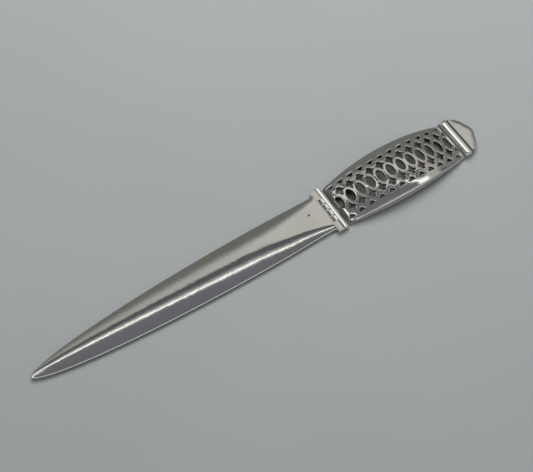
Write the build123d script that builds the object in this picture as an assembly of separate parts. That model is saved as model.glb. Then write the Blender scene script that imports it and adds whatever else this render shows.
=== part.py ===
from build123d import *
import math
import os

# A silver letter opener, lying flat. X runs along it from the tip to the cap, Y across it and Z up.
# The origin is under the middle of its length, on the plane it lies on. Millimetres.

# Overall layout along X
overall_length = 179.0
tip_x = -overall_length / 2
cap_end_x = overall_length / 2
blade_length = 114.6
guard_width = 3.6
pommel_width = 3.9
cap_length = 6.1
guard_front_x = tip_x + blade_length
guard_rear_x = guard_front_x + guard_width
pommel_rear_x = cap_end_x - cap_length
pommel_front_x = pommel_rear_x - pommel_width

# Solder and sliding clearances
solder_gap = 0.03
slot_clearance = 0.05

# Blade
blade_half_width = 8.0
leaf_power = 1.084
leaf_steps = 18
blade_mid_z = 1.1
belly_half_thickness = 1.1
edge_half_thickness = 0.3
tip_half_thickness = 0.5
shoulder_half_thickness = 0.75
shoulder_crown = 0.05
waist_half_width = 7.7
waist_setback = 1.6
shoulder_setback = 0.2
shoulder_inset = 0.6
flat_length = 9.0

# Cross bars
guard_half_length = 9.3
pommel_half_length = 8.2
bolster_height = 1.9
bolster_corner_radius = 0.8
bolster_edge_radius = 0.2

# Applied wires: width, height and distance of the wire's front edge from the bar's front face
guard_bead_width = 1.4
guard_bead_height = 0.75
guard_bead_offset = 1.55
guard_reed_width = 0.6
guard_reed_height = 0.45
guard_reed_offset = 0.85
pommel_bead_width = 2.35
pommel_bead_height = 1.4
pommel_bead_offset = 1.35
pommel_reed_width = 0.6
pommel_reed_height = 0.4
pommel_reed_offset = 0.65
wire_end_inset = 0.1
wire_flank_share = 0.32

# Hollow handle
handle_half_width = 10.5
handle_end_half_width = 8.1
crown_mid_z = 5.65
crown_end_z = 1.95
cross_crown_radius = 52.0
back_mid_z = 1.4
back_end_z = 0.35
back_thickness = 0.5
panel_thickness = 0.5
rim_thickness = 0.8

# Tongues that hold the blade and the cap
tongue_half_width = 3.2
tongue_thickness = 0.4
blade_tongue_lap = 9.0
cap_tongue_lap = 5.0

# Pierced lattice on the front panel. Sizes along the handle are shares of one unit, those across it are
# shares of the lattice's half width.
lattice_units = 12
lattice_shift_share = 0.155
lattice_end_share = 0.27
oval_along_share = 0.33
oval_across_share = 0.355
triangle_along_share = 0.31
triangle_apex_share = 0.79
star_along_share = 0.38
star_inner_share = 0.3
star_outer_share = 0.22
star_place_share = 0.54
star_waist_share = 0.38

# Cap
cap_half_width = 7.9
cap_mid_z = 1.55
cap_half_thickness = 1.05
cap_shoulder_x_share = 0.54
cap_shoulder_y_share = 0.8
cap_notch_x_share = 0.82
cap_notch_half_width = 3.5
cap_notch_radius = 0.8
cap_edge_radius = 0.7

# Values worked out from the driving dimensions
handle_length = pommel_front_x - guard_rear_x
handle_mid_x = (pommel_front_x + guard_rear_x) / 2
handle_half_length = handle_length / 2
tall = 4 * crown_mid_z
wide = 4 * handle_half_width


def arch_radius(mid_z, end_z):
    """Radius of the lengthwise arc that is mid_z high at the handle's middle and end_z at its ends."""
    rise = mid_z - end_z
    return (handle_half_length ** 2 + rise ** 2) / (2 * rise)


back_radius = arch_radius(back_mid_z, back_end_z)
back_centre_z = back_mid_z - back_radius
seam_radius = back_radius + back_thickness
crown_radius = arch_radius(crown_mid_z, crown_end_z)
crown_centre_z = crown_mid_z - crown_radius
crown_half_arc = crown_radius * math.asin(handle_half_length / crown_radius)
lattice_pitch = 2 * crown_half_arc / lattice_units
lattice_half_width = handle_end_half_width - rim_thickness


def prism(plan, bottom=-tall, top=tall):
    """A plan outline on the XY plane, pulled from bottom to top."""
    return extrude(Plane.XY.offset(bottom) * plan, top - bottom)


def back_drum(radius):
    """A drum across the handle, concentric with the back plate's arch."""
    turned = Rotation(90, 0, 0) * Cylinder(radius, wide)
    return Pos(handle_mid_x, 0, back_centre_z) * turned


def crown_barrel(sunk):
    """A barrel across the handle whose side is the panel's crowned surface, sunk by a depth."""
    half = wide / 2
    crest = crown_radius - sunk
    side = crest - cross_crown_radius + math.sqrt(cross_crown_radius ** 2 - half ** 2)
    outline = make_face([
        Line((0, -half), (side, -half)),
        ThreePointArc((side, -half), (crest, 0), (side, half)),
        Line((side, half), (0, half)),
        Line((0, half), (0, -half)),
    ])
    return Pos(handle_mid_x, 0, crown_centre_z) * revolve(outline, Axis.Y)


def handle_plan(inset=0.0):
    """Barrel-shaped outline of the handle between the bars; the long sides can be set in."""
    left, right = guard_rear_x, pommel_front_x
    end, middle = handle_end_half_width - inset, handle_half_width - inset
    return make_face([
        ThreePointArc((left, end), (handle_mid_x, middle), (right, end)),
        Line((right, end), (right, -end)),
        ThreePointArc((right, -end), (handle_mid_x, -middle), (left, -end)),
        Line((left, -end), (left, end)),
    ])


def tongue(from_x, to_x, clearance=0.0):
    """A strip that lies on the back plate and follows its arch between two places along X."""
    low_x, high_x = min(from_x, to_x), max(from_x, to_x)
    plan = Rectangle(high_x - low_x, 2 * (tongue_half_width + clearance))
    inner = seam_radius + solder_gap - clearance
    outer = seam_radius + solder_gap + tongue_thickness + clearance
    band = back_drum(outer) - back_drum(inner)
    return prism(Pos((low_x + high_x) / 2, 0) * plan) & band


def lens_section(x, middle, edge, half_width):
    """Section across the blade: convex on both faces, with a flat edge at each side."""
    def at(y, z):
        return (x, y, blade_mid_z + z)
    return make_face([
        ThreePointArc(at(-half_width, edge), at(0, middle), at(half_width, edge)),
        Line(at(half_width, edge), at(half_width, -edge)),
        ThreePointArc(at(half_width, -edge), at(0, -middle), at(-half_width, -edge)),
        Line(at(-half_width, -edge), at(-half_width, edge)),
    ])


def blade_plan():
    """Leaf outline: a pointed half oval at the tip, a slight waist and small concave flares at the guard."""
    waist_x = guard_front_x - waist_setback
    shoulder_x = guard_front_x - shoulder_setback
    shoulder = guard_half_length - shoulder_inset
    dip_x = (waist_x + shoulder_x) / 2
    dip_y = waist_half_width + (shoulder - waist_half_width) / 4

    def sides(sign):
        belly = (0, sign * blade_half_width)
        waist = (waist_x, sign * waist_half_width)
        flare = (shoulder_x, sign * shoulder)
        corner = (guard_front_x, sign * shoulder)
        return [
            Line(belly, waist),
            ThreePointArc(waist, (dip_x, sign * dip_y), flare),
            Line(flare, corner),
        ]

    def leaf_point(turn):
        half_width = blade_half_width * abs(math.sin(turn)) ** leaf_power
        return (tip_x * math.cos(turn), math.copysign(half_width, turn))

    turns = [math.pi / 2 - math.pi * k / leaf_steps for k in range(leaf_steps + 1)]
    leaf = Spline(*[leaf_point(turn) for turn in turns], tangents=((-1, 0), (1, 0)))
    back = Line((guard_front_x, shoulder), (guard_front_x, -shoulder))
    return make_face([leaf, back] + sides(1) + sides(-1))


def make_blade():
    """Blade that thickens from the tip to the belly and turns flat at the shoulder, with its tongue."""
    reach = guard_half_length
    flat_x = guard_front_x - flat_length
    tip = lens_section(tip_x, tip_half_thickness, edge_half_thickness, reach)
    belly = lens_section(0, belly_half_thickness, edge_half_thickness, reach)
    waist = lens_section(flat_x, belly_half_thickness, edge_half_thickness, reach)
    shoulder = lens_section(
        guard_front_x, shoulder_half_thickness + shoulder_crown, shoulder_half_thickness, reach)
    body = loft([tip, belly], ruled=True)
    body = body + loft([belly, waist], ruled=True)
    body = body + loft([waist, shoulder], ruled=True)
    body = body & prism(blade_plan())
    return body + tongue(guard_front_x - solder_gap, guard_rear_x + blade_tongue_lap)


def bar_plan(front_x, rear_x, half_length):
    """Plan of a cross bar with rounded ends."""
    plan = RectangleRounded(rear_x - front_x, 2 * half_length, bolster_corner_radius)
    return Pos((front_x + rear_x) / 2, 0) * plan


def bolster(front_x, rear_x, half_length):
    """Cross bar with eased top and bottom edges at its two ends, slotted for a tongue."""
    bar = prism(bar_plan(front_x, rear_x, half_length), 0, bolster_height)
    ends = bar.faces().filter_by(Axis.Y).edges().filter_by(Axis.X)
    bar = fillet(ends, bolster_edge_radius)
    return bar - tongue(front_x - guard_width, rear_x + guard_width, slot_clearance)


def wire(front_x, width, height, half_length):
    """A drawn wire with a round top and low straight flanks, soldered on top of a cross bar."""
    mid_x = front_x + width / 2
    rear_x = front_x + width
    low = bolster_height
    flank = low + wire_flank_share * height
    section = make_face([
        Line((front_x, 0, low), (rear_x, 0, low)),
        Line((rear_x, 0, low), (rear_x, 0, flank)),
        ThreePointArc((rear_x, 0, flank), (mid_x, 0, low + height), (front_x, 0, flank)),
        Line((front_x, 0, flank), (front_x, 0, low)),
    ])
    return extrude(section, half_length, both=True)


def make_handle_back():
    """Plain arched plate that closes the handle from below."""
    band = back_drum(seam_radius) - back_drum(back_radius)
    return prism(handle_plan()) & band


def oval_opening():
    """Pointed oval on the handle's middle line."""
    along = oval_along_share * lattice_pitch
    across = oval_across_share * lattice_half_width
    return make_face([
        ThreePointArc((0, -across), (along, 0), (0, across)),
        ThreePointArc((0, across), (-along, 0), (0, -across)),
    ])


def triangle_opening():
    """Triangle with its base along the lattice's border and its apex inwards."""
    along = triangle_along_share * lattice_pitch
    apex = triangle_apex_share * lattice_half_width
    base = lattice_half_width
    return make_face(Polyline((-along, base), (along, base), (0, apex), close=True))


def star_opening():
    """Four-pointed star between two ovals and two triangles, with its longest point inwards."""
    along = star_along_share * lattice_pitch
    outer = star_outer_share * lattice_half_width
    inner = -star_inner_share * lattice_half_width
    waist = star_waist_share
    points = [
        (along, 0), (waist * along, waist * outer), (0, outer), (-waist * along, waist * outer),
        (-along, 0), (-waist * along, waist * inner), (0, inner), (waist * along, waist * inner),
    ]
    return Pos(0, star_place_share * lattice_half_width) * make_face(Polyline(*points, close=True))


def lattice_cutters():
    """Openings of the lattice: ovals and triangles on each station, stars between the stations.

    Each is turned about the arch's centre, so that the pitch runs along the arch. One that would lie almost
    under a cross bar is left out.
    """
    triangle = triangle_opening()
    star = star_opening()
    on_station = [oval_opening(), triangle, mirror(triangle, Plane.XZ)]
    between = [star, mirror(star, Plane.XZ)]
    last_arc = crown_half_arc - lattice_end_share * lattice_pitch
    cutters = []
    for step in range(2 * lattice_units + 1):
        arc = ((step - lattice_units) / 2 + lattice_shift_share) * lattice_pitch
        if abs(arc) > last_arc:
            continue
        turn = Pos(handle_mid_x, 0, crown_centre_z) * Rotation(0, math.degrees(arc / crown_radius), 0)
        for shape in on_station if step % 2 else between:
            cutter = prism(shape, crown_radius - 2 * panel_thickness, crown_radius + panel_thickness)
            cutters.append(turn * cutter)
    return cutters


def make_handle_front():
    """Crowned panel with turned-down rims along its two long sides, open inside and pierced."""
    shell = prism(handle_plan()) & crown_barrel(0)
    shell = shell - back_drum(seam_radius)
    hollow = prism(handle_plan(rim_thickness)) & crown_barrel(panel_thickness)
    shell = shell - hollow
    return shell - lattice_cutters()


def cap_plan():
    """Three-lobed outline: two round shoulders and a round middle lobe."""
    start_x = pommel_rear_x
    bulge_x = start_x + cap_shoulder_x_share * cap_length
    notch_x = start_x + cap_notch_x_share * cap_length
    bulge_y = cap_shoulder_y_share * cap_half_width
    return make_face([
        Line((start_x, -cap_half_width), (start_x, cap_half_width)),
        ThreePointArc((start_x, cap_half_width), (bulge_x, bulge_y), (notch_x, cap_notch_half_width)),
        ThreePointArc((notch_x, cap_notch_half_width), (cap_end_x, 0), (notch_x, -cap_notch_half_width)),
        ThreePointArc((notch_x, -cap_notch_half_width), (bulge_x, -bulge_y), (start_x, -cap_half_width)),
    ])


def make_pommel_cap():
    """End plate with eased edges and the tongue that holds it."""
    plate = prism(cap_plan(), cap_mid_z - cap_half_thickness, cap_mid_z + cap_half_thickness)
    notches = plate.edges().filter_by(Axis.Z).sort_by(Axis.X)[-2:]
    plate = fillet(notches, cap_notch_radius)
    outline = plate.edges().filter_by(GeomType.CIRCLE)
    plate = fillet(outline, cap_edge_radius)
    return plate + tongue(pommel_front_x - cap_tongue_lap, pommel_rear_x + solder_gap)


guard_wire_half = guard_half_length - wire_end_inset
pommel_wire_half = pommel_half_length - wire_end_inset
nodes = {
    "blade": make_blade(),
    "guard_bolster": bolster(guard_front_x, guard_rear_x, guard_half_length),
    "guard_bead": wire(
        guard_front_x + guard_bead_offset, guard_bead_width, guard_bead_height, guard_wire_half),
    "guard_reed": wire(
        guard_front_x + guard_reed_offset, guard_reed_width, guard_reed_height, guard_wire_half),
    "handle_back": make_handle_back(),
    "handle_front": make_handle_front(),
    "pommel_bolster": bolster(pommel_front_x, pommel_rear_x, pommel_half_length),
    "pommel_bead": wire(
        pommel_front_x + pommel_bead_offset, pommel_bead_width, pommel_bead_height, pommel_wire_half),
    "pommel_reed": wire(
        pommel_front_x + pommel_reed_offset, pommel_reed_width, pommel_reed_height, pommel_wire_half),
    "pommel_cap": make_pommel_cap(),
}

os.makedirs("parts", exist_ok=True)
for name, shape in nodes.items():
    export_step(shape, f"parts/{name}.step")
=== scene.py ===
import cmath
import math
import bpy
from mathutils import Matrix, Vector
from mathutils.geometry import delaunay_2d_cdt


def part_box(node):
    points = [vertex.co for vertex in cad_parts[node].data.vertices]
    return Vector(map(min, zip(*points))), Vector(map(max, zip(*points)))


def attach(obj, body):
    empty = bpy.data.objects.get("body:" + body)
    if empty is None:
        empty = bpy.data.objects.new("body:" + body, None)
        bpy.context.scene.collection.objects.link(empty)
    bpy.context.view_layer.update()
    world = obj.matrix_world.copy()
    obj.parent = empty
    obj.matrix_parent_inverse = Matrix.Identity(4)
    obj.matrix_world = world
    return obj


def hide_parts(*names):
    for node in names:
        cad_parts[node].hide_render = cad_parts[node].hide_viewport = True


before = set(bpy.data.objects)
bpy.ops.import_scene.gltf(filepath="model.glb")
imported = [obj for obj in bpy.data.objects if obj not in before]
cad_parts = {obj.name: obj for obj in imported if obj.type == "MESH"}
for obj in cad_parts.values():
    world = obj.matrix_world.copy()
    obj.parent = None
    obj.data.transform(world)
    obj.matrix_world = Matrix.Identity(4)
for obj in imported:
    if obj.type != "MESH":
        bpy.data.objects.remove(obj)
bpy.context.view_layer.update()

# Looks of a silver letter opener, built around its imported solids.
# Shapes are in millimetres in the part's own frame, and written in metres.
MM = 0.001
flat_face_weight = 80
most_cut_share = 0.45


def span(node, axis):
    """Lowest and highest place of a node along an axis, in millimetres."""
    low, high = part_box(node)
    return low[axis] / MM, high[axis] / MM


X, Y, Z = 0, 1, 2

# Places read from the frame
tip_x = span("blade", X)[0]
guard_front_x, guard_rear_x = span("guard_bolster", X)
pommel_front_x, pommel_rear_x = span("pommel_bolster", X)
cap_end_x = span("pommel_cap", X)[1]
bolster_top_z = span("guard_bolster", Z)[1]
handle_mid_x = (guard_rear_x + pommel_front_x) / 2
handle_half_length = (pommel_front_x - guard_rear_x) / 2
handle_half_width = span("handle_front", Y)[1]
crown_mid_z = span("handle_front", Z)[1]
back_end_z = span("handle_back", Z)[0]
shoulder_half_width = span("blade", Y)[1]

# Blade
blade_half_width = 8.0
leaf_power = 0.542
blade_mid_z = 1.1
edge_half_thickness = 0.42
edge_round = 0.26
edge_slope = 0.155
waist_half_width = 7.65
waist_setback = 1.8
flare_power = 2.2
flat_start_x = -7.5
flat_share = 0.75
shoulder_thickening = 0.14
thick_start_x = 8.5
tip_round_length = 0.9
tip_least_share = 0.1
tip_inset = 0.01
least_half_width = 0.05
edge_steps = 5
across_count = 120
under_count = 40
tip_count = 90
body_count = 50
shoulder_count = 56
fine_length = 7.0

# Small pit in the blade; its black floor is painted shade
pit_place = (19.16, 1.73)
pit_radius = 0.38
pit_floor_radius = 0.16
pit_depth = 0.22

# Cross bars
guard_front_lap = 0.5
strip_top_z = 1.88
strip_lap = 0.1
strip_edge_round = 0.06
foot_round = 0.1
lip_width = 0.4
lip_height = 0.2
lip_foot_gap = 0.05
lip_foot_drop = 0.1
lip_rounds = (foot_round, 0.12, 0.08, 0.08, 0.02)
rear_slope_width = 0.2
rear_slope_drop = 0.6
pommel_chamfer_width = 1.25
pommel_chamfer_drop = 1.1
pommel_bar_rounds = (foot_round, 0.12, 0.05, 0.08, foot_round)
bar_end_round = 0.12
bar_end_steps = 8
# Painted shade on the end faces of bars and wires
end_face_shade = 0.3

# Ends of a wire: rounding, share of its width that stays put, and how much it lowers
wire_end = (bar_end_round, 0.5, 1.0)
bead_end = (1.0, 1.0, 0.2)

# Corners of the wires' sections, from a wire's front and its bar's top: along X, up, and rounding
guard_reed_shape = (
    (0.6, -0.2, 0.0), (0.57, -0.06, 0.05), (0.2, 0.13, 0.03), (-0.01, 0.04, 0.03), (-0.02, -0.2, 0.0),
)
guard_bead_shape = (
    (1.4, -0.2, 0.0), (1.4, 0.2, 0.08), (1.2, 0.5, 0.1), (0.5, 0.2, 0.1), (0.02, -0.2, 0.0),
)
pommel_reed_shape = (
    (0.72, -0.6, 0.0), (0.72, 0.16, 0.02), (0.66, 0.16, 0.02), (0.14, -0.42, 0.1), (0.0, -0.6, 0.0),
)
pommel_bead_shape = (
    (2.32, -0.2, 0.0), (2.3, 0.75, 0.1), (2.06, 1.17, 0.12), (1.26, 1.2, 0.06), (0.4, 0.81, 0.06),
    (0.12, 0.4, 0.12), (0.0, -0.2, 0.0),
)

# Blank punch marks on the guard's front strip, darkened with tarnish and painted shade
mark_depth = 0.14
mark_blur = 0.05
mark_pillow = 0.5
mark_half_height = 0.66
mark_half_length = 1.0
mark_setback = 0.74
mark_tarnish_and_shade = 0.85
mark_pitch = 2.7
mark_count = 4
mark_step = 0.12
strip_count = 20
strip_tolerance = 0.01

# Handle
handle_end_half_width = 8.1
crown_end_z = 1.95
cross_radius = 52.0
border_y = 9.2
border_radius = 4.0
back_mid_z = 1.4
back_thickness = 0.5
panel_thickness = 0.95
inside_gap = 0.12
rim_thickness = 0.8
rim_round = 0.2
guard_roll_length = 2.0
pommel_roll_length = 0.3
pommel_lap = 0.75
roll_share = 0.9
roll_crest = 0.14
seam_gap = 0.08
seam_lip_share = 0.85
seam_lip_inset = 0.06
least_wall = 0.05
outline_steps = 96
outline_step = 0.4
back_edge_round = 0.2
back_edge_steps = 4
back_across_steps = 12
back_steps = 72

# Tongues seen through the piercings
tongue_half_width = 3.2
tongue_thickness = 0.4
tongue_gap = 0.03
blade_tongue_lap = 9.0
cap_tongue_lap = 5.0
tongue_steps = 24

# Lattice
lattice_units = 12
lattice_shift_share = 0.155
oval_half_along = 1.34
oval_half_across = 2.62
oval_power = 0.68
oval_steps = 28
oval_guard_shift = 0.4
oval_pommel_gap = 0.4
triangle_base_y = 7.25
triangle_apex_y = 5.75
triangle_half_along = 1.38
triangle_round = 0.18
star_y = 3.95
star_half = ((0, -2.35), (0.58, -0.78), (1.72, 0.0), (0.7, 0.62), (0.62, 1.5))
star_round = 0.08
star_lobe_round = 0.3
guard_end_strip = 1.5
pommel_end_strip = 0.25
least_guard_hole = 1.2
least_pommel_hole = 0.36
cut_hole_rounds = 2
hole_step = 0.2
hole_round = 0.31
round_steps = 6
fill_step = 0.55
fill_clear = 0.15
merge_distance = 1e-7
least_length = 1e-9
least_loop_points = 12

# Tarnish and painted shade, from 0 to 1, and how far the painted shade reaches at the guard
brim_tarnish_and_shade = 0.15
wall_share = 0.25
wall_tarnish_and_shade = 0.9
tongue_tarnish = 0.8
rim_seam_shade = 0.5
cap_seam_shade = 0.6
guard_end_shade_level = 0.75
guard_end_reach = 1.35
guard_end_blur = 0.6
corner_reach = 2.2
corner_y = 7.5
corner_blur = 0.8

# Cap
cap_half_width = 7.9
cap_low_z = 1.1
cap_top_z = 2.6
cap_shoulder_x_share = 0.54
cap_shoulder_y_share = 0.8
cap_notch_x_share = 0.82
cap_notch_half_width = 3.0
cap_dome_width = 2.1
cap_dome_drop = 0.34
cap_dome_length = 4.2
cap_edge_round = 0.35
cap_under_round = 0.35
cap_ease_length = 2.0
cap_flat_inset = 0.3
cap_seam_width = 0.62
cap_seam_depth = 0.7
cap_seam_share = 0.8
cap_arc_steps = 40
cap_soft_rounds = 5
cap_round_steps = 10
cap_bar_steps = 24

# Camera, fitted to the photograph
camera_azimuth = -32.699
camera_elevation = 60.641
camera_distance = 381.138
camera_target = (2.891, 3.661, 0.0)
focal_pixels = 1100.0
image_width = 533.0
sensor_width = 36.0
clip_start = 0.01


def smooth_step(low, high, value):
    """0 below low, 1 above high, smooth between."""
    t = min(max((value - low) / (high - low), 0.0), 1.0)
    return t * t * (3 - 2 * t)


def quarter_round(radius, steps, first=0):
    """How far a rounded edge stays in and how far it drops, from its top to its side."""
    places = []
    for k in range(first, steps + 1):
        turn = math.radians(90 * k / steps)
        places.append((radius * (1 - math.sin(turn)), radius * (1 - math.cos(turn))))
    return places


def arch_radius(mid_z, end_z):
    """Radius of the arc that is mid_z high at the handle's middle and end_z at its ends."""
    rise = mid_z - end_z
    return (handle_half_length ** 2 + rise ** 2) / (2 * rise)


crown_radius = arch_radius(crown_mid_z, crown_end_z)
crown_centre_z = crown_mid_z - crown_radius
crown_half_arc = crown_radius * math.asin(handle_half_length / crown_radius)
lattice_pitch = 2 * crown_half_arc / lattice_units
back_radius = arch_radius(back_mid_z, back_end_z)
back_centre_z = back_mid_z - back_radius
seam_radius = back_radius + back_thickness


def arch_z(radius, x):
    """Height of the back plate's arch, or of one concentric with it, along X."""
    return back_centre_z + math.sqrt(radius ** 2 - (x - handle_mid_x) ** 2)


def barrel_width(share):
    """Half width of the handle, by the share of its half length from its middle."""
    return handle_half_width - (handle_half_width - handle_end_half_width) * share ** 2


# Mesh helpers


def add_piece(name, verts, faces, material, node, levels=None, dull_from=None):
    """A smooth-shaded mesh that stands for a node and rides on the one body.

    Faces from dull_from on are dull, and levels say how deep in tarnish and painted shade each point is.
    """
    mesh = bpy.data.meshes.new(name)
    mesh.from_pydata([(x * MM, y * MM, z * MM) for x, y, z in verts], [], faces)
    mesh.update()
    for polygon in mesh.polygons:
        polygon.use_smooth = True
    if levels is not None:
        layer = mesh.attributes.new("recess", "FLOAT", "POINT")
        layer.data.foreach_set("value", levels)
    piece = bpy.data.objects.new(name, mesh)
    bpy.context.scene.collection.objects.link(piece)
    mesh.materials.append(material)
    if dull_from is not None:
        mesh.materials.append(inner)
        for polygon in mesh.polygons[dull_from:]:
            polygon.material_index = 1
    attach(piece, "root")
    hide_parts(node)
    return piece


def weighted_normals(piece):
    """Keeps flat faces flat where they meet rounded edges."""
    modifier = piece.modifiers.new("weighted_normals", "WEIGHTED_NORMAL")
    modifier.keep_sharp = True
    modifier.weight = flat_face_weight


def ring_stack(rings, verts=None, faces=None):
    """A closed skin over rings of equally many points, closed at both ends."""
    verts = [] if verts is None else verts
    faces = [] if faces is None else faces
    start = len(verts)
    count = len(rings[0])
    for ring in rings:
        verts.extend(ring)
    for row in range(len(rings) - 1):
        for k in range(count):
            a = start + row * count + k
            b = start + row * count + (k + 1) % count
            faces.append((a, b, b + count, a + count))
    faces.append(tuple(start + k for k in reversed(range(count))))
    last = start + (len(rings) - 1) * count
    faces.append(tuple(last + k for k in range(count)))
    return verts, faces


# Blade


def blade_width_at(x):
    """Half width of the leaf-shaped blade, with a slight waist and a flare."""
    if x <= 0:
        return blade_half_width * max(0.0, 1 - (x / tip_x) ** 2) ** leaf_power
    waist_x = guard_front_x - waist_setback
    width = blade_half_width - (blade_half_width - waist_half_width) * smooth_step(0, waist_x, x)
    if x > waist_x:
        share = (x - waist_x) / waist_setback
        width += (shoulder_half_width - waist_half_width) * share ** flare_power
    return width


def pit_dent(x, y):
    """How deep the pit is at a place on the blade, from 0 to 1."""
    return smooth_step(pit_radius, pit_floor_radius, math.dist((x, y), pit_place))


def blade_rise(x, y):
    """How far the lens-shaped face stands above the blade's edge."""
    width = blade_width_at(x)
    share = max(0.0, x - flat_start_x) / (guard_front_x - flat_start_x)
    flat = flat_share * width * share ** 2
    reach = width - flat
    beyond = max(abs(y) - flat, 0.0)
    return edge_slope / (2 * reach) * (reach ** 2 - beyond ** 2)


def blade_ring(x):
    """One closed section of the blade, and how recessed each of its points is."""
    width = max(blade_width_at(x), least_half_width)
    near_tip = min(max((x - tip_x) / tip_round_length, 0.0), 1.0)
    shrink = tip_least_share + (1 - tip_least_share) * math.sqrt(1 - (1 - near_tip) ** 2)
    edge = edge_half_thickness + shoulder_thickening * smooth_step(thick_start_x, guard_front_x, x)
    radius = min(edge_round, most_cut_share * width)
    face_width = width - radius
    top, deep = [], []
    for k in range(across_count + 1):
        y = face_width * (2 * k / across_count - 1)
        dent = pit_dent(x, y)
        top.append((y, edge + blade_rise(x, y) - pit_depth * dent))
        # The pit's depth also sets its painted shade
        deep.append(dent)
    edge_top = edge + blade_rise(x, face_width)
    side = [(width - inset, edge_top - drop) for inset, drop in quarter_round(radius, edge_steps, 1)[:-1]]
    lower_side = [(y, -z) for y, z in reversed(side)]
    bottom = []
    for k in range(under_count + 1):
        y = face_width * (1 - 2 * k / under_count)
        bottom.append((y, -(edge + blade_rise(x, y))))
    far_side = [(-y, z) for y, z in reversed(side + lower_side)]
    outline = top + side + lower_side + bottom + far_side
    levels = deep + [0.0] * (len(outline) - len(deep))
    return [(x, y, blade_mid_z + z * shrink) for y, z in outline], levels


def tongue_rings(from_x, to_x):
    """Sections of a tongue that lies on the back plate and follows its arch."""
    rings = []
    for k in range(tongue_steps + 1):
        x = from_x + (to_x - from_x) * k / tongue_steps
        low = arch_z(seam_radius + tongue_gap, x)
        high = low + tongue_thickness
        half = tongue_half_width
        rings.append([(x, -half, high), (x, half, high), (x, half, low), (x, -half, low)])
    return rings


def make_blade(material):
    """Blade, with closer sections near its tip and guard, and its tongue."""
    stations = [tip_x * math.cos(math.pi / 2 * k / tip_count) for k in range(tip_count)]
    stations[0] += tip_inset
    fine_x = guard_front_x - fine_length
    stations += [fine_x * k / body_count for k in range(body_count)]
    stations += [fine_x + fine_length * k / shoulder_count for k in range(shoulder_count + 1)]
    sections = [blade_ring(x) for x in stations]
    verts, faces = ring_stack([ring for ring, _ in sections])
    levels = [value for _, ring_levels in sections for value in ring_levels]
    tongue_start = len(faces)
    verts, faces = ring_stack(tongue_rings(guard_front_x, guard_rear_x + blade_tongue_lap), verts, faces)
    levels += [tongue_tarnish] * (len(verts) - len(levels))
    add_piece("blade_body", verts, faces, material, "blade", levels, tongue_start)


# Cross bars and wires


def rounded_loop(corners, radii, steps=4):
    """A closed outline through corners, each cut back by its radius and rounded."""
    points = []
    count = len(corners)
    for k in range(count):
        before, here, after = (Vector(corners[(k + j - 1) % count]) for j in range(3))
        back = before - here
        ahead = after - here
        if radii[k] == 0:
            points.append(tuple(here))
            continue
        cut = min(radii[k] * 2, most_cut_share * back.length, most_cut_share * ahead.length)
        start = here + back.normalized() * cut
        end = here + ahead.normalized() * cut
        for j in range(steps + 1):
            t = j / steps
            points.append(tuple(start * (1 - t) ** 2 + here * 2 * t * (1 - t) + end * t ** 2))
    return points


def bar_places(half_length, end_round, step=None):
    """Places along a bar and how far its section draws in at its round ends."""
    ends = [(half_length - inset, drop) for inset, drop in quarter_round(end_round, bar_end_steps)]
    straight = half_length - end_round
    count = 1 if step is None else round(2 * straight / step)
    middle = [(straight * (2 * k / count - 1), 0.0) for k in range(1, count)]
    return [(-y, inset) for y, inset in reversed(ends)] + middle + ends


def bar_rings(profile, places, base_z, hold=0.5, sink=1.0):
    """Sections of a bar as it draws in; hold is the share of its width that stays put."""
    low_x = min(x for x, _ in profile)
    high_x = max(x for x, _ in profile)
    held_x = low_x + (high_x - low_x) * hold
    height = max(z for _, z in profile) - base_z
    rings = []
    for y, inset in places:
        pull_x = 1 - inset / (max(hold, 1 - hold) * (high_x - low_x))
        pull_z = 1 - sink * inset / height
        rings.append([
            (held_x + (x - held_x) * pull_x, y, base_z + (z - base_z) * pull_z) for x, z in profile
        ])
    return rings


def end_levels(rings):
    """Recess levels of a bar: its two end faces are darkened with painted shade."""
    end = [end_face_shade] * len(rings[0])
    middle = [0.0] * (len(rings[0]) * (len(rings) - 2))
    return end + middle + end


bar_front_x = guard_front_x - guard_front_lap
mark_middle_x = bar_front_x + mark_setback


def mark_dent(x, y):
    """How deep the blank marks are at a place: pillows in sunk frames."""
    across = (x - mark_middle_x) / mark_half_height
    deep = 0.0
    for k in range(mark_count):
        along = (y - mark_pitch * (k - (mark_count - 1) / 2)) / mark_half_length
        off = max((abs(across) - 1) * mark_half_height, (abs(along) - 1) * mark_half_length)
        pillow = max(0.0, 1 - across ** 2) * max(0.0, 1 - along ** 4)
        deep = max(deep, smooth_step(mark_blur, -mark_blur, off) * (1 - mark_pillow * pillow))
    return deep


def rear_lip():
    """Corners of the guard bar's rear: a slope up to a thin lip behind the bead."""
    lip_x = guard_rear_x - rear_slope_width
    lip_z = bolster_top_z + lip_height
    lip_front_x = lip_x - lip_width
    foot_x = min(span("guard_bead", X)[1], lip_front_x - lip_foot_gap)
    return [
        (guard_rear_x, 0.0), (guard_rear_x, lip_z - rear_slope_drop), (lip_x, lip_z), (lip_front_x, lip_z),
        (foot_x, bolster_top_z - lip_foot_drop),
    ]


def add_bar(name, rings, levels, node, material):
    """Piece over the sections of a bar or wire."""
    verts, faces = ring_stack(rings)
    weighted_normals(add_piece(name, verts, faces, material, node, levels))


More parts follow.
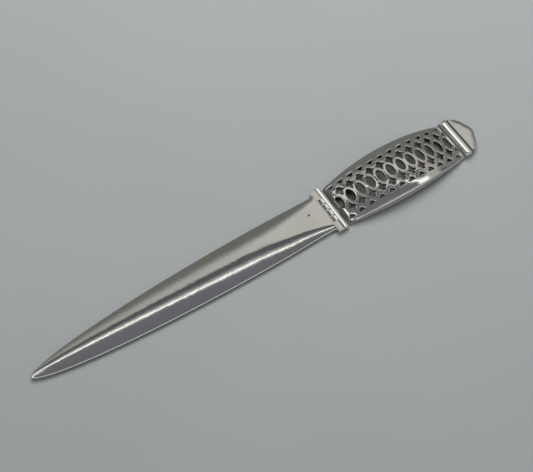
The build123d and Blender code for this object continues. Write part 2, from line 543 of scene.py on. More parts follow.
def make_guard_bolster(material):
    """Guard bar with blank marks on its front strip and a lip at its rear."""
    strip_end_x = span("guard_reed", X)[0] + strip_lap
    shares = [k / strip_count for k in range(strip_count + 1)]
    strip = [(strip_end_x + (bar_front_x - strip_end_x) * share, strip_top_z) for share in shares]
    corners = rear_lip() + strip + [(bar_front_x, 0.0)]
    radii = [*lip_rounds, *[0.0] * strip_count, strip_edge_round, foot_round]
    profile = rounded_loop(corners, radii, 2)
    rings = bar_rings(profile, bar_places(span("guard_bolster", Y)[1], bar_end_round, mark_step), 0.0)
    levels = end_levels(rings)
    dented = []
    for ring in rings:
        for x, y, z in ring:
            deep = mark_dent(x, y) if abs(z - strip_top_z) < strip_tolerance else 0.0
            # Darkens the marks: tarnish in them, and painted shade strongest at their sunk frames
            levels[len(dented)] += mark_tarnish_and_shade * deep
            dented.append((x, y, z - mark_depth * deep))
    count = len(profile)
    rings = [dented[k:k + count] for k in range(0, len(dented), count)]
    add_bar("guard_bar", rings, levels, "guard_bolster", material)


def make_pommel_bolster(material):
    """Pommel bar: a broad chamfer in front of its bead."""
    corners = [
        (pommel_rear_x, 0.0), (pommel_rear_x, bolster_top_z),
        (pommel_front_x + pommel_chamfer_width, bolster_top_z),
        (pommel_front_x, bolster_top_z - pommel_chamfer_drop), (pommel_front_x, 0.0),
    ]
    profile = rounded_loop(corners, pommel_bar_rounds)
    rings = bar_rings(profile, bar_places(span("pommel_bolster", Y)[1], bar_end_round), 0.0)
    add_bar("pommel_bar", rings, end_levels(rings), "pommel_bolster", material)


def make_wire(node, shape, end, material):
    """Wire soldered along a bar, with round ends."""
    end_round, hold, sink = end
    front_x = span(node, X)[0]
    corners = [(front_x + x, bolster_top_z + z) for x, z, _ in shape]
    profile = rounded_loop(corners, [radius for _, _, radius in shape])
    low_z = min(z for _, z in profile)
    rings = bar_rings(profile, bar_places(span(node, Y)[1], end_round), low_z, hold, sink)
    add_bar(node + "_wire", rings, end_levels(rings), node, material)


# Handle


def make_handle_back(material):
    """Arched back plate with rounded edges."""
    rings = []
    for k in range(back_steps + 1):
        share = 2 * k / back_steps - 1
        x = handle_mid_x + handle_half_length * share
        width = barrel_width(share)
        high = arch_z(seam_radius, x)
        low = arch_z(back_radius, x)
        half = (high - low) / 2
        mid = (high + low) / 2
        rounding = quarter_round(back_edge_round, back_edge_steps)
        side = [(width - inset, half - drop) for inset, drop in rounding]
        flat = width - back_edge_round
        face = [(flat * (2 * j / back_across_steps - 1), half) for j in range(1, back_across_steps)]
        upper = [(-y, z) for y, z in reversed(side)] + face + side
        lower = [(y, -z) for y, z in reversed(upper)]
        rings.append([(x, y, mid + z) for y, z in upper + lower])
    verts, faces = ring_stack(rings)
    weighted_normals(add_piece("handle_back_plate", verts, faces, material, "handle_back"))


def panel_drop(y):
    """How far the panel's face lies below its crown at a place across it."""
    across = abs(y)
    if across <= border_y:
        return across ** 2 / (2 * cross_radius)
    beyond = across - border_y
    border_drop = border_y ** 2 / (2 * cross_radius)
    return border_drop + border_y / cross_radius * beyond + beyond ** 2 / (2 * border_radius)


def panel_point(arc, y, depth):
    """A place on the arched panel, by arc, place across and depth under its face."""
    turn = arc / crown_radius
    radius = crown_radius - panel_drop(y)
    x = handle_mid_x + radius * math.sin(turn)
    height = crown_centre_z + radius * math.cos(turn) - arch_z(seam_radius, x)
    to_guard = 1 - (arc + crown_half_arc) / guard_roll_length
    to_pommel = 1 - (crown_half_arc + pommel_lap - arc) / pommel_roll_length
    past = max(0.0, to_guard, to_pommel)
    bent = (math.hypot(past, roll_crest) - roll_crest) / (math.hypot(1, roll_crest) - roll_crest)
    radius -= depth + height * roll_share * bent
    return (handle_mid_x + radius * math.sin(turn), y, crown_centre_z + radius * math.cos(turn))


def panel_depth(arc, y):
    """Thickness of the panel, less where its inside would reach the back plate."""
    x, _, z = panel_point(arc, y, 0)
    return max(hole_round + least_wall, min(panel_thickness, z - arch_z(seam_radius, x) - inside_gap))


def resampled(loop, step):
    """The same closed outline with points spread evenly along it."""
    lengths = [0.0]
    count = len(loop)
    for k in range(count):
        lengths.append(lengths[-1] + math.dist(loop[k], loop[(k + 1) % count]))
    total = lengths[-1]
    wanted = max(least_loop_points, round(total / step))
    points = []
    k = 0
    for j in range(wanted):
        at = total * j / wanted
        while lengths[k + 1] < at:
            k += 1
        share = (at - lengths[k]) / max(lengths[k + 1] - lengths[k], least_length)
        a, b = loop[k], loop[(k + 1) % count]
        points.append((a[0] + (b[0] - a[0]) * share, a[1] + (b[1] - a[1]) * share))
    return points


def offset_loop(loop, distance):
    """A closed anticlockwise outline moved outwards by a distance."""
    count = len(loop)
    moved = []
    for k in range(count):
        a, b = loop[k - 1], loop[(k + 1) % count]
        along = Vector((b[0] - a[0], b[1] - a[1])).normalized()
        moved.append((loop[k][0] + along.y * distance, loop[k][1] - along.x * distance))
    return moved


def softened(points, rounds, closed=True):
    """An outline eased by averaging neighbours; an open one keeps its ends."""
    count = len(points)
    for _ in range(rounds):
        eased = [
            tuple((points[k - 1][a] + 2 * points[k][a] + points[(k + 1) % count][a]) / 4 for a in (0, 1))
            for k in range(count)
        ]
        points = eased if closed else points[:1] + eased[1:-1] + points[-1:]
    return points


def oval_loop():
    """Pointed oval across the handle's middle line."""
    points = []
    for side in (1, -1):
        for k in range(oval_steps):
            y = -side * oval_half_across * math.cos(math.pi * k / oval_steps)
            points.append((side * oval_half_along * (1 - (y / oval_half_across) ** 2) ** oval_power, y))
    return points


def triangle_loop():
    """Triangle with its base along the border."""
    corners = [
        (0, triangle_apex_y), (triangle_half_along, triangle_base_y), (-triangle_half_along, triangle_base_y),
    ]
    return rounded_loop(corners, [triangle_round] * 3)


def star_loop():
    """Four-pointed star with its longest point inwards and a round lobe outwards."""
    corners = list(star_half) + [(-x, y) for x, y in reversed(star_half) if x > 0]
    radii = [star_round] * 4 + [star_lobe_round] * 2 + [star_round] * 3
    return [(x, y + star_y) for x, y in rounded_loop(corners, radii)]


def mirrored(loop):
    """The outline on the other side of the middle line, still anticlockwise."""
    return [(x, -y) for x, y in reversed(loop)]


def clipped(loop, side, limit):
    """The part of an outline that stays short of one end of the unrolled panel."""
    kept = []
    for k, here in enumerate(loop):
        before = loop[k - 1]
        out_here = side * here[0] - limit
        out_before = side * before[0] - limit
        if out_here * out_before < 0:
            share = out_before / (out_before - out_here)
            kept.append(tuple(before[a] + (here[a] - before[a]) * share for a in (0, 1)))
        if out_here <= 0:
            kept.append(here)
    return kept


def arc_length(loop):
    """How far an outline reaches along the panel."""
    return max(x for x, _ in loop) - min(x for x, _ in loop)


def lattice_loops():
    """Outlines of all openings on the unrolled panel; the panel's ends cut some short."""
    triangle = triangle_loop()
    star = star_loop()
    oval = oval_loop()
    on_station = [oval, triangle, mirrored(triangle)]
    between = [star, mirrored(star)]
    guard_limit = crown_half_arc - guard_end_strip
    loops = []
    for step in range(-1, 2 * lattice_units + 2):
        arc = ((step - lattice_units) / 2 + lattice_shift_share) * lattice_pitch
        for shape in on_station if step % 2 else between:
            first_oval = shape is oval and step == 1
            pommel_lead = -oval_pommel_gap if shape is oval else pommel_lap - pommel_end_strip
            place = arc - oval_guard_shift if first_oval else arc
            moved = [(x + place, y) for x, y in shape]
            kept = clipped(moved, -1, guard_limit)
            if not kept or arc_length(kept) < least_guard_hole:
                continue
            kept = clipped(kept, 1, crown_half_arc + pommel_lead)
            if not kept or arc_length(kept) < least_pommel_hole:
                continue
            whole = kept == moved
            kept = resampled(kept, hole_step)
            loops.append(kept if whole else softened(kept, cut_hole_rounds))
    return loops


def panel_outline(inset):
    """Barrel-shaped outline of the unrolled panel, set in, anticlockwise."""
    low = inset - crown_half_arc
    high = crown_half_arc + pommel_lap - inset
    near_side = []
    for k in range(outline_steps + 1):
        arc = low + (high - low) * k / outline_steps
        near_side.append((arc, inset - barrel_width(arc / crown_half_arc)))
    return near_side + [(arc, -y) for arc, y in reversed(near_side)]


def inside(point, loop):
    """Whether a point is inside a closed outline."""
    x, y = point
    result = False
    for k in range(len(loop)):
        (ax, ay), (bx, by) = loop[k - 1], loop[k]
        if (ay > y) != (by > y) and x < (bx - ax) * (y - ay) / (by - ay) + ax:
            result = not result
    return result


def flat_panel(outer, brims):
    """The unrolled panel between its rim and the brims of its openings, in triangles.

    Gives the points, the triangles and, for the rim and then each brim, the numbers of its points.
    """
    points = []
    edges = []
    starts = []
    loops = [outer] + brims
    for loop in loops:
        start = len(points)
        starts.append(start)
        points += loop
        edges += [(start + k, start + (k + 1) % len(loop)) for k in range(len(loop))]
    boxes = []
    for brim in brims:
        xs, ys = zip(*brim)
        boxes.append((min(xs), max(xs), min(ys), max(ys)))

    def in_opening(p):
        return any(
            x0 < p[0] < x1 and y0 < p[1] < y1 and inside(p, brim)
            for brim, (x0, x1, y0, y1) in zip(brims, boxes)
        )

    def cell(p):
        return int(p[0] // fill_step), int(p[1] // fill_step)

    cells = {}
    for p in points:
        cells.setdefault(cell(p), []).append(p)

    def near_loop(p):
        i, j = cell(p)
        around = [cells.get((i + di, j + dj), ()) for di in (-1, 0, 1) for dj in (-1, 0, 1)]
        return any(math.dist(p, q) < fill_clear for group in around for q in group)

    along = int(2 * crown_half_arc / fill_step)
    across = int(2 * handle_half_width / fill_step)
    for i in range(along + 1):
        for j in range(across + 1):
            p = (-crown_half_arc + fill_step * (i + 0.5 * (j % 2)), -handle_half_width + fill_step * j)
            if inside(p, outer) and not in_opening(p) and not near_loop(p):
                points.append(p)
    result = delaunay_2d_cdt([Vector(p) for p in points], edges, [], 0, merge_distance)
    flat_points = [tuple(p) for p in result[0]]
    triangles = []
    for face in result[2]:
        centre = [sum(flat_points[k][a] for k in face) / len(face) for a in (0, 1)]
        if inside(centre, outer) and not in_opening(centre):
            triangles.append(tuple(face))
    numbers = {old[0]: new for new, old in enumerate(result[3]) if old}
    rings = [[numbers[start + k] for k in range(len(loop))] for loop, start in zip(loops, starts)]
    return flat_points, triangles, rings


def guard_painted_shade(arc, y):
    """How much painted shade darkens the panel near the guard, further along at its two corners."""
    reach = guard_end_reach + corner_reach * smooth_step(corner_y, corner_y + corner_blur, abs(y))
    return guard_end_shade_level * smooth_step(reach, reach - guard_end_blur, arc + crown_half_arc)


def make_handle_front(material):
    """Arched pierced panel as one closed skin with rounded openings and rolled rims."""
    outer = resampled(panel_outline(rim_round), outline_step)
    holes = lattice_loops()
    brims = [offset_loop(hole, hole_round) for hole in holes]
    flat_points, top_faces, flat_rings = flat_panel(outer, brims)
    verts = [panel_point(x, y, 0) for x, y in flat_points]
    levels = [guard_painted_shade(x, y) for x, y in flat_points]
    faces = list(top_faces)
    under = {}

    def add_loop(loop, depths, level):
        start = len(verts)
        for (x, y), depth in zip(loop, depths):
            verts.append(panel_point(x, y, depth))
            levels.append(max(level, guard_painted_shade(x, y)))
        return [start + k for k in range(len(loop))]

    def skin(upper, lower):
        count = len(upper)
        for k in range(count):
            j = (k + 1) % count
            faces.append((upper[k], lower[k], lower[j], upper[j]))

    # Openings: a quarter-round brim, then a wall down to the inside; both darken with tarnish and painted
    # shade
    for hole, first in zip(holes, flat_rings[1:]):
        ring = first
        for k, (inset, drop) in enumerate(quarter_round(hole_round, round_steps, 1), 1):
            lower = add_loop(offset_loop(hole, inset), [drop] * len(hole), brim_tarnish_and_shade * k / round_steps)
            skin(lower, ring)
            ring = lower
        depths = [panel_depth(x, y) for x, y in hole]
        wall_depths = [hole_round + wall_share * (depth - hole_round) for depth in depths]
        wall = add_loop(hole, wall_depths, wall_tarnish_and_shade)
        skin(wall, ring)
        foot = add_loop(hole, depths, 1.0)
        skin(foot, wall)
        under.update(zip(first, foot))

    # Rim: rolled over, down to the seam and up again inside, darkened at the seam with painted shade
    first = flat_rings[0]
    ring = first
    for inset, drop in quarter_round(rim_round, round_steps + 1, 1):
        lower = add_loop(offset_loop(outer, rim_round - inset), [drop] * len(outer), 0.0)
        skin(ring, lower)
        ring = lower
    seam_depths = []
    for x, y in offset_loop(outer, rim_round):
        place = panel_point(x, y, 0)
        depth = place[2] - arch_z(seam_radius, place[0]) - seam_gap
        seam_depths.append(max(depth, rim_round + least_wall))
    for share, inset, level in ((seam_lip_share, 0.0, 0.0), (1.0, seam_lip_inset, rim_seam_shade)):
        depths = [rim_round + (depth - rim_round) * share for depth in seam_depths]
        lower = add_loop(offset_loop(outer, rim_round - inset), depths, level)
        skin(ring, lower)
        ring = lower
    inner_loop = offset_loop(outer, rim_round - rim_thickness)
    lower = add_loop(inner_loop, seam_depths, 1.0)
    skin(ring, lower)
    foot = add_loop(inner_loop, [panel_depth(x, y) for x, y in inner_loop], 1.0)
    skin(lower, foot)
    under.update(zip(first, foot))

    # Inside face, dark with tarnish and painted shade
    for k, (x, y) in enumerate(flat_points):
        if k not in under:
            under[k] = len(verts)
            verts.append(panel_point(x, y, panel_depth(x, y)))
            levels.append(1.0)
    faces += [tuple(under[k] for k in reversed(face)) for face in top_faces]
    add_piece("handle_pierced_panel", verts, faces, material, "handle_front", levels)


# Cap


def arc_points(a, b, c, steps):
    """Points on the circle through a, b and c, from a to c."""
    start, via, end = (complex(*point) for point in (a, b, c))
    ratio = (end - start) / (via - start)
    centre = start + (via - start) * (ratio - abs(ratio) ** 2) / (2j * ratio.imag)
    turn = cmath.phase((via - centre) / (start - centre)) + cmath.phase((end - centre) / (via - centre))
    places = [centre + (start - centre) * cmath.exp(1j * turn * k / steps) for k in range(steps + 1)]
    return [(place.real, place.imag) for place in places]


def cap_outline():
    """Three-lobed outline of the cap from one end of the bar to the other."""
    length = cap_end_x - pommel_rear_x
    bulge = (pommel_rear_x + cap_shoulder_x_share * length, cap_shoulder_y_share * cap_half_width)
    notch = (pommel_rear_x + cap_notch_x_share * length, cap_notch_half_width)
    side = arc_points(notch, bulge, (pommel_rear_x, cap_half_width), cap_arc_steps)
    end = arc_points((notch[0], -notch[1]), (cap_end_x, 0), notch, cap_arc_steps)
    return softened(mirrored(side) + end[1:] + side[1:], cap_soft_rounds, closed=False)


def cap_loop(outline, inset, z, dome=0.0):
    """The cap's outline drawn in along its lobes; along the bar it is straight and chamfered."""
    count = len(outline)
    bar_x = pommel_rear_x + cap_seam_width * max(0.0, 1 - (cap_top_z - z) / cap_seam_depth)
    points = []
    for k in range(count):
        before = outline[max(k - 1, 0)]
        after = outline[min(k + 1, count - 1)]
        along = Vector((after[0] - before[0], after[1] - before[1])).normalized()
        from_bar = outline[k][0] - pommel_rear_x
        free = smooth_step(0.0, cap_ease_length, from_bar)
        inward = Vector((-along.y * free, along.x)).normalized()
        x = max(outline[k][0] + inward.x * inset, bar_x)
        lower = dome * smooth_step(cap_seam_width, cap_dome_length, from_bar)
        points.append((x, outline[k][1] + inward.y * inset, z - lower))
    near_y, far_y = points[0][1], points[-1][1]
    along_bar = [far_y + (near_y - far_y) * k / cap_bar_steps for k in range(1, cap_bar_steps)]
    return points + [(bar_x, y, z) for y in along_bar]


def make_cap(material):
    """End plate that is domed towards its lobed edge, and its tongue."""
    outline = cap_outline()
    rings = []

    def add_ring(inset, z):
        rings.append(cap_loop(outline, inset, z))

    def add_dome_ring(inset):
        short = max(0.0, cap_edge_round - inset)
        edge_drop = cap_edge_round - math.sqrt(cap_edge_round ** 2 - short ** 2)
        dome = cap_dome_drop * (1 - inset / cap_dome_width) ** 2
        rings.append(cap_loop(outline, inset, cap_top_z - edge_drop, dome))

    add_ring(cap_under_round + cap_flat_inset, cap_low_z)
    for inset, drop in quarter_round(cap_under_round, cap_round_steps):
        add_ring(inset, cap_low_z + drop)
    for _, inset in quarter_round(cap_edge_round, cap_round_steps):
        add_dome_ring(inset)
    for k in range(1, cap_round_steps + 1):
        add_dome_ring(cap_edge_round + (cap_dome_width - cap_edge_round) * k / cap_round_steps)
    add_ring(cap_dome_width + cap_flat_inset, cap_top_z)
    verts, faces = ring_stack(rings)
    tongue_start = len(faces)
    seam_end_x = pommel_rear_x + cap_seam_share * cap_seam_width
    # Painted shade in the cap's seam along the bar
    levels = [cap_seam_shade if x < seam_end_x else 0.0 for x, _, _ in verts]
    verts, faces = ring_stack(tongue_rings(pommel_front_x - cap_tongue_lap, pommel_rear_x), verts, faces)
    levels += [tongue_tarnish] * (len(verts) - len(levels))
    piece = add_piece(
        "pommel_cap_plate", verts, faces, material, "pommel_cap", levels, tongue_start
    )
    weighted_normals(piece)


# Materials: noise scales are per metre, bump heights in metres
bright_silver = (0.95, 0.94, 0.91)
worn_silver = (0.89, 0.88, 0.845)
# Near-black painted shade for the blade's pit, the bars' end faces and the cap's seam; in the guard's marks
# it is tarnish with painted shade
shade_and_tarnish_black = (0.05, 0.046, 0.04)
stain_scale = 90
stain_range = (0.4, 0.68)
polish_scale = 2600
polish_stretch = (0.12, 1, 1)
polish_range = (0.3, 0.75)
wave_scale = 420
wave_height = 0.00002
ripple_scale = 2400
ripple_height = 0.000004
scratch_scale = 5200
scratch_stretch = (0.06, 1, 1)
scratch_strength = 0.12
scratch_height = 0.000004
# Outside of the back plate, darkened as painted shade of the shadowed table it mirrors
shaded_outside_silver = (0.7, 0.69, 0.66)
pale_tarnish = (0.84, 0.80, 0.72)
dark_tarnish = (0.56, 0.53, 0.46)
deep_tarnish = (0.2, 0.18, 0.15)
facing_up = (0.5, 0.7)
inner_rough = (0.16, 0.55)
tarnish_scale = 700
tarnish_range = (0.35, 0.7)
grain_scale = 1500
grain_strength = 0.3
grain_height = 0.00002
table_scale = 9
table_range = (0.3, 0.7)
table_rough = 0.75
table_shine = 0.2
table_dark = (0.393, 0.416, 0.422)
table_light = (0.418, 0.439, 0.443)


def new_material(name):
    """An empty material with its node tree and its shader."""
    material = bpy.data.materials.new(name)
    material.use_nodes = True
    tree = material.node_tree
    return material, tree, tree.nodes["Principled BSDF"]


def add_noise(tree, scale, detail=4.0, stretch=(1, 1, 1)):
    """Noise in the part's own frame, stretched along an axis where asked."""
    place = tree.nodes.new("ShaderNodeTexCoord")
    mapping = tree.nodes.new("ShaderNodeMapping")
    mapping.inputs["Scale"].default_value = stretch
    noise = tree.nodes.new("ShaderNodeTexNoise")
    noise.inputs["Scale"].default_value = scale
    noise.inputs["Detail"].default_value = detail
    tree.links.new(place.outputs["Object"], mapping.inputs["Vector"])
    tree.links.new(mapping.outputs["Vector"], noise.inputs["Vector"])
    return noise.outputs["Fac"]


def add_range(tree, value, low, high, to_low, to_high):
    """A value moved from one range to another."""
    node = tree.nodes.new("ShaderNodeMapRange")
    node.inputs["From Min"].default_value = low
    node.inputs["From Max"].default_value = high
    node.inputs["To Min"].default_value = to_low
    node.inputs["To Max"].default_value = to_high
    tree.links.new(value, node.inputs["Value"])
    return node.outputs["Result"]


def add_mix(tree, factor, a, b):
    """Two colours mixed by a factor; each is a colour or a socket."""
    node = tree.nodes.new("ShaderNodeMix")
    node.data_type = "RGBA"
    tree.links.new(factor, node.inputs["Factor"])
    for name, value in (("A", a), ("B", b)):
        socket = next(s for s in node.inputs if s.name == name and s.type == "RGBA")
        if isinstance(value, tuple):
            socket.default_value = (*value, 1.0)
        else:
            tree.links.new(value, socket)
    return next(s for s in node.outputs if s.type == "RGBA")


def add_bump(tree, height, strength, distance, before=None):
    """Surface relief from a height, on top of another relief where one is given."""
    node = tree.nodes.new("ShaderNodeBump")
    node.inputs["Strength"].default_value = strength
    node.inputs["Distance"].default_value = distance
    tree.links.new(height, node.inputs["Height"])
    if before is not None:
        tree.links.new(before, node.inputs["Normal"])
    return node.outputs["Normal"]


def add_recess(tree):
    """How deep in tarnish and painted shade each point of a piece is."""
    attribute = tree.nodes.new("ShaderNodeAttribute")
    attribute.attribute_name = "recess"
    return attribute.outputs["Fac"]


def silver(name, bright, worn, rough, wave, recess, dulling):
    """Polished silver with fine scratches and a faint stain, darkened in its recesses with tarnish and
    painted shade.
    """
    material, tree, shader = new_material(name)
    shader.inputs["Metallic"].default_value = 1.0
    stain = add_range(tree, add_noise(tree, stain_scale, 5), *stain_range, 0, 1)
    colour = add_mix(tree, stain, bright, worn)
    polish = add_noise(tree, polish_scale, 6, polish_stretch)
    roughness = add_range(tree, polish, *polish_range, *rough)
    deep = add_recess(tree)
    colour = add_mix(tree, deep, colour, recess)
    blend = tree.nodes.new("ShaderNodeMath")
    blend.operation = "MULTIPLY_ADD"
    blend.inputs[1].default_value = dulling
    tree.links.new(deep, blend.inputs[0])
    tree.links.new(roughness, blend.inputs[2])
    tree.links.new(colour, shader.inputs["Base Color"])
    tree.links.new(blend.outputs["Value"], shader.inputs["Roughness"])
    waves = add_bump(tree, add_noise(tree, wave_scale, 3), wave, wave_height)
    ripples = add_bump(tree, add_noise(tree, ripple_scale, 2), wave, ripple_height, waves)
    scratch = add_noise(tree, scratch_scale, 4, scratch_stretch)
    scratches = add_bump(tree, scratch, scratch_strength, scratch_height, ripples)
    tree.links.new(scratches, shader.inputs["Normal"])
    return material


def dull_silver():
    """Silver that is polished outside, darkened there with painted shade, and dull with tarnish inside the
    handle.
    """
    material, tree, shader = new_material("inner_silver")
    shader.inputs["Metallic"].default_value = 1.0
    normal = tree.nodes.new("ShaderNodeNewGeometry")
    split = tree.nodes.new("ShaderNodeSeparateXYZ")
    tree.links.new(normal.outputs["True Normal"], split.inputs["Vector"])
    up = split.outputs["Z"]
    mottle = add_range(tree, add_noise(tree, tarnish_scale, 6), *tarnish_range, 0, 1)
    tarnish = add_mix(tree, mottle, pale_tarnish, dark_tarnish)
    colour = add_mix(tree, add_range(tree, up, *facing_up, 0, 1), shaded_outside_silver, tarnish)
    colour = add_mix(tree, add_recess(tree), colour, deep_tarnish)
    tree.links.new(colour, shader.inputs["Base Color"])
    roughness = add_range(tree, up, *facing_up, *inner_rough)
    tree.links.new(roughness, shader.inputs["Roughness"])
    grain = add_bump(tree, add_noise(tree, grain_scale, 5), grain_strength, grain_height)
    tree.links.new(grain, shader.inputs["Normal"])
    return material


def table_material():
    """Pale grey table with faint mottling."""
    material, tree, shader = new_material("table")
    mottle = add_range(tree, add_noise(tree, table_scale, 6), *table_range, 0, 1)
    colour = add_mix(tree, mottle, table_dark, table_light)
    tree.links.new(colour, shader.inputs["Base Color"])
    shader.inputs["Roughness"].default_value = table_rough
    shader.inputs["Specular IOR Level"].default_value = table_shine
    return material


polished = silver("polished_silver", bright_silver, worn_silver, (0.03, 0.075), 0.5, shade_and_tarnish_black, 0.8)
brushed = silver("brushed_silver", bright_silver, worn_silver, (0.12, 0.2), 0.5, shade_and_tarnish_black, 0.8)
# Near-black recess colour of the panel: tarnish plus painted shade in its openings, at its seam and near the
# guard
pierced = silver(
    "pierced_silver", (0.96, 0.95, 0.92), (0.89, 0.875, 0.84), (0.03, 0.08), 0.35, (0.06, 0.05, 0.038), 0.35
)
inner = dull_silver()

make_blade(polished)
make_guard_bolster(polished)
make_wire("guard_reed", guard_reed_shape, wire_end, polished)
make_wire("guard_bead", guard_bead_shape, wire_end, polished)
make_pommel_bolster(polished)
make_wire("pommel_reed", pommel_reed_shape, wire_end, polished)
make_wire("pommel_bead", pommel_bead_shape, bead_end, polished)
make_handle_back(inner)
make_handle_front(pierced)
make_cap(brushed)

# Floor
floor_half = 1.6
floor_corners = [(x * floor_half, y * floor_half, 0) for x, y in ((-1, -1), (1, -1), (1, 1), (-1, 1))]
floor_mesh = bpy.data.meshes.new("table_top")
floor_mesh.from_pydata(floor_corners, [], [(0, 1, 2, 3)])
floor_mesh.materials.append(table_material())
floor = bpy.data.objects.new("table_top", floor_mesh)
bpy.context.scene.collection.objects.link(floor)


# Light: a dim room with a pale far wall, a window on the left and one long lamp overhead
room_axes = {
    "along": (1, 0, 0),
    "across": (0, 1, 0),
    "height": (0, 0, 1),
    "far": (0.55, 0.835, 0),
    "low_wall": (0.3, 0.835, 0),
    "lamp": (0.62, 0.785, 0),
    "left": (-0.98, -0.2, 0),
}

# Dim ceiling, pale behind the viewer, by how far a direction leans to the far side
ceiling_colours = (
    (-1.0, (0.36, 0.36, 0.36)), (-0.45, (0.45, 0.45, 0.44)),
    (-0.2, (0.32, 0.32, 0.32)), (0.05, (0.133, 0.138, 0.15)),
    (0.2, (0.124, 0.13, 0.142)), (0.35, (0.132, 0.139, 0.153)),
    (0.43, (0.092, 0.097, 0.106)), (0.46, (0.075, 0.08, 0.088)),
)

# Far wall, dim at its two sides, by how far a direction leans along the part
wall_colours = (
    (-0.3, (0.16, 0.17, 0.185)), (0.0, (0.26, 0.26, 0.255)),
    (0.15, (0.37, 0.368, 0.35)), (0.3, (0.46, 0.457, 0.43)),
    (0.4, (0.50, 0.496, 0.466)), (0.48, (0.50, 0.496, 0.466)),
    (0.55, (0.41, 0.405, 0.38)), (0.62, (0.30, 0.295, 0.275)),
    (0.7, (0.195, 0.19, 0.177)), (0.9, (0.15, 0.147, 0.14)),
)

# Edges in the room: the place on an axis and how soft it is
far_wall_edge = (0.479, 0.013)
low_wall_edge = (0.522, 0.045)
horizon_edge = (0.16, 0.1)
left_wall_edge = (0.5, 0.02)
low_wall_colour = (0.142, 0.139, 0.131)
horizon_colour = (0.42, 0.42, 0.41)
left_wall_colour = (0.10, 0.104, 0.112)
backdrop_colour = (0.38, 0.385, 0.39)

# Lights: two axes, each with two places and the softness there, and a colour.
# Window on the left, pale patch of ceiling, glow and tube of the long lamp, low light on the near side,
# pale wall and lamp on the right
lamp_length = ("along", -0.12, 0.62, 0.06)
room_lights = (
    (("left", 0.135, 0.5, 0.02), ("across", -0.25, 0.5, 0.04), (1.0, 1.0, 0.98)),
    (("along", -0.13, -0.005, 0.012), ("across", 0.365, 0.5, 0.035), (0.62, 0.615, 0.585)),
    (("lamp", 0.35, 0.399, 0.02), lamp_length, (0.40, 0.397, 0.38)),
    (("lamp", 0.355, 0.375, 0.006), lamp_length, (1.15, 1.14, 1.08)),
    (("across", -0.86, -0.66, 0.05), ("along", -0.25, 0.55, 0.05), (0.85, 0.85, 0.83)),
    (("along", 0.56, 0.67, 0.03), ("across", -0.3, 0.2, 0.05), (0.36, 0.355, 0.33)),
    (("along", 0.475, 0.57, 0.015), ("across", -0.25, 0.09, 0.03), (1.0, 0.99, 0.95)),
)

# Lamp that casts the shadow: place, size and power
softbox_place = (0.2, 0.26, 0.48)
softbox_size = 0.42
softbox_power = 2.65


def add_dot(tree, direction, axis):
    """How far a direction leans along an axis."""
    node = tree.nodes.new("ShaderNodeVectorMath")
    node.operation = "DOT_PRODUCT"
    node.inputs[1].default_value = axis
    tree.links.new(direction, node.inputs[0])
    return node.outputs["Value"]


def add_math(tree, operation, a, b):
    """Two values put together."""
    node = tree.nodes.new("ShaderNodeMath")
    node.operation = operation
    tree.links.new(a, node.inputs[0])
    tree.links.new(b, node.inputs[1])
    return node.outputs["Value"]


def add_step(tree, value, at, soft):
    """0 below a place and 1 above it, with a soft edge."""
    result = add_range(tree, value, at - soft, at + soft, 0, 1)
    result.node.interpolation_type = "SMOOTHSTEP"
    return result


def add_band(tree, value, low, high, soft):
    """1 between two places, with soft edges."""
    return add_math(tree, "SUBTRACT", add_step(tree, value, low, soft), add_step(tree, value, high, soft))


def add_ramp(tree, value, stops):
    """Colours along a value that goes from -1 to 1."""
    ramp = tree.nodes.new("ShaderNodeValToRGB")
    tree.links.new(add_range(tree, value, -1, 1, 0, 1), ramp.inputs["Fac"])
    elements = ramp.color_ramp.elements
    while len(elements) < len(stops):
        elements.new(0.5)
    for element, (at, colour) in zip(elements, stops):
        element.position = (at + 1) / 2
        element.color = (*colour, 1.0)
    return ramp.outputs["Color"]


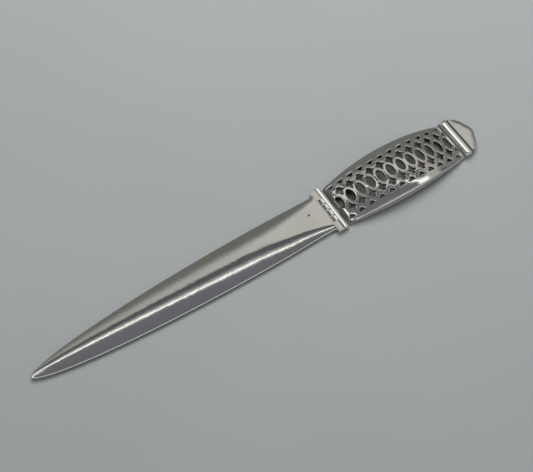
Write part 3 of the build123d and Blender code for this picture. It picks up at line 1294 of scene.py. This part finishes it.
def build_world():
    """The room that the silver mirrors, with a plain backdrop for the camera."""
    world = bpy.data.worlds.new("studio")
    bpy.context.scene.world = world
    world.use_nodes = True
    tree = world.node_tree
    direction = tree.nodes.new("ShaderNodeTexCoord").outputs["Generated"]
    lean = {name: add_dot(tree, direction, axis) for name, axis in room_axes.items()}
    colour = add_ramp(tree, lean["far"], ceiling_colours)
    wall = add_ramp(tree, lean["along"], wall_colours)
    colour = add_mix(tree, add_step(tree, lean["far"], *far_wall_edge), colour, wall)
    colour = add_mix(tree, add_step(tree, lean["low_wall"], *low_wall_edge), colour, low_wall_colour)
    colour = add_mix(tree, add_step(tree, lean["height"], *horizon_edge), horizon_colour, colour)
    colour = add_mix(tree, add_step(tree, lean["left"], *left_wall_edge), colour, left_wall_colour)
    for first, second, light in room_lights:
        bands = [add_band(tree, lean[axis], low, high, soft) for axis, low, high, soft in (first, second)]
        colour = add_mix(tree, add_math(tree, "MULTIPLY", *bands), colour, light)
    path = tree.nodes.new("ShaderNodeLightPath")
    colour = add_mix(tree, path.outputs["Is Camera Ray"], colour, backdrop_colour)
    tree.links.new(colour, tree.nodes["Background"].inputs["Color"])


def add_softbox():
    """Soft lamp that points at the part; the silver doesn't mirror it."""
    light = bpy.data.lights.new("soft_lamp", "AREA")
    light.shape = "SQUARE"
    light.size = softbox_size
    light.energy = softbox_power
    lamp = bpy.data.objects.new("soft_lamp", light)
    lamp.location = softbox_place
    lamp.rotation_euler = Vector(softbox_place).to_track_quat("Z", "Y").to_euler()
    lamp.visible_glossy = False
    bpy.context.scene.collection.objects.link(lamp)


build_world()
add_softbox()


# Camera


def add_camera():
    """Camera that looks at the part as the photograph does."""
    azimuth = math.radians(camera_azimuth)
    elevation = math.radians(camera_elevation)
    flat = math.cos(elevation)
    back = Vector((math.sin(azimuth) * flat, -math.cos(azimuth) * flat, math.sin(elevation)))
    right = Vector((math.cos(azimuth), math.sin(azimuth), 0))
    up = back.cross(right)
    place = (Vector(camera_target) + back * camera_distance) * MM
    data = bpy.data.cameras.new("camera")
    data.sensor_fit = "HORIZONTAL"
    data.sensor_width = sensor_width
    data.lens = sensor_width * focal_pixels / image_width
    data.clip_start = clip_start
    camera = bpy.data.objects.new("camera", data)
    turn = Matrix((right, up, back)).transposed()
    camera.matrix_world = Matrix.Translation(place) @ turn.to_4x4()
    bpy.context.scene.collection.objects.link(camera)
    bpy.context.scene.camera = camera


add_camera()
bpy.context.scene.view_settings.view_transform = "Standard"
